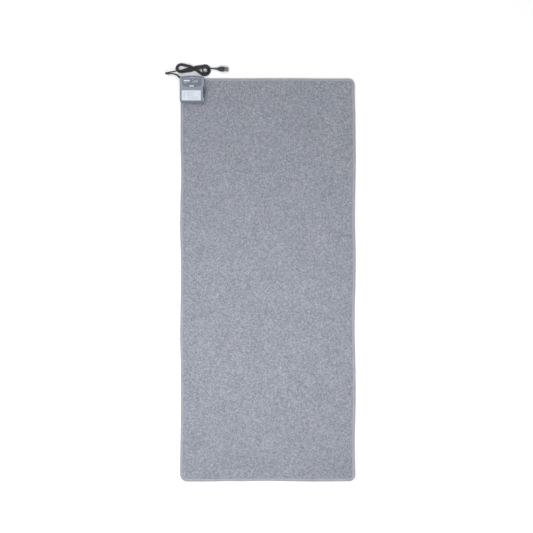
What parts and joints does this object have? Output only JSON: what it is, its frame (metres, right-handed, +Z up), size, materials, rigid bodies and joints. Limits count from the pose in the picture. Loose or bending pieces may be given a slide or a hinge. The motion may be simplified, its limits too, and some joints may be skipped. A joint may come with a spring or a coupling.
{
  "type": "electric heating mat",
  "caption": "Flat rectangular carpet heating mat with a bound edge, a box controller with a slide knob on one corner, and a short tied mains lead with a plug.",
  "frame": {"origin": "bottom centre of the box of the mat with its controller, without the free mains lead", "axes": "+Y along the mat's length towards the controller end, +X across it with the controller on the -X side, +Z up out of the pile"},
  "size_m": [0.8497, 1.8679, 0.0301],
  "materials": {
    "felt": "pressed grey felt",
    "carpet": "heather grey needle-punched pile",
    "tape": "woven binding tape, stitched",
    "foil": "thin reflective sheet",
    "heating_wire": "silicone insulated wire",
    "case": "fine moulded texture, slate blue-grey",
    "panel": "printed satin panel",
    "label": "satin printed label",
    "lens": "milky diffusing plastic",
    "dark_trim": "dark moulded plastic",
    "black_plastic": "component plastic",
    "board": "solder mask on laminate",
    "aluminium": "extruded",
    "film_capacitor": "dipped",
    "brass": "plain",
    "steel": "zinc plated",
    "cord": "satin black sheath",
    "cord_tie": "plastic coated twist tie",
    "plug": "satin black moulding",
    "blade": "nickel plated",
    "clear_cover": "translucent smoky plastic"
  },
  "bodies": {
    "head": {"felt_backing_head": "felt", "heat_shield_head": "foil", "pile_fabric_head": "carpet", "binding_head_left": "tape", "binding_head_corner": "tape", "heating_wire_head": "heating_wire", "heating_wire_return_head": "heating_wire", "lower_case": "case", "upper_case": "case", "control_panel": "panel", "caution_label": "label", "rating_label": "label", "power_lens": "lens", "power_led": "lens", "case_screw_1": "steel", "case_screw_2": "steel", "case_screw_3": "steel", "case_screw_4": "steel", "board_screw_1": "steel", "board_screw_2": "steel", "slide_switch_body": "black_plastic", "slide_bezel": "dark_trim", "circuit_board": "board", "heatsink": "aluminium", "triac": "black_plastic", "control_chip": "black_plastic", "capacitor_1": "film_capacitor", "capacitor_2": "black_plastic", "fuse": "brass", "terminal_block": "panel", "strain_relief": "cord", "inner_lead": "cord", "lead_live": "heating_wire", "lead_neutral": "panel", "cord_clamp": "panel", "clamp_screw_1": "steel", "clamp_screw_2": "steel", "power_cord_lead": "cord", "power_cord_hank": "cord", "cord_tie": "cord_tie", "power_cord_tail": "cord", "plug_body": "plug", "plug_blade_left": "blade", "plug_blade_right": "blade", "blade_cover": "clear_cover"},
    "slider": {"temperature_knob": "dark_trim", "slide_lever": "steel"},
    "foot": {"felt_backing_foot": "felt", "heat_shield_foot": "foil", "pile_fabric_foot": "carpet", "binding_foot": "tape", "heating_wire_foot": "heating_wire"}
  },
  "joints": [
    {"name": "temperature_slide", "type": "slide", "parent": "head", "child": "slider", "axis": [0, 1, 0], "range_m": [-0.016, 0.016]},
    {"name": "mat_fold", "type": "hinge", "parent": "head", "child": "foot", "pos_m": [0, -0.0055, 0.01], "axis": [-1, 0, 0], "range_deg": [0, 175]}
  ]
}
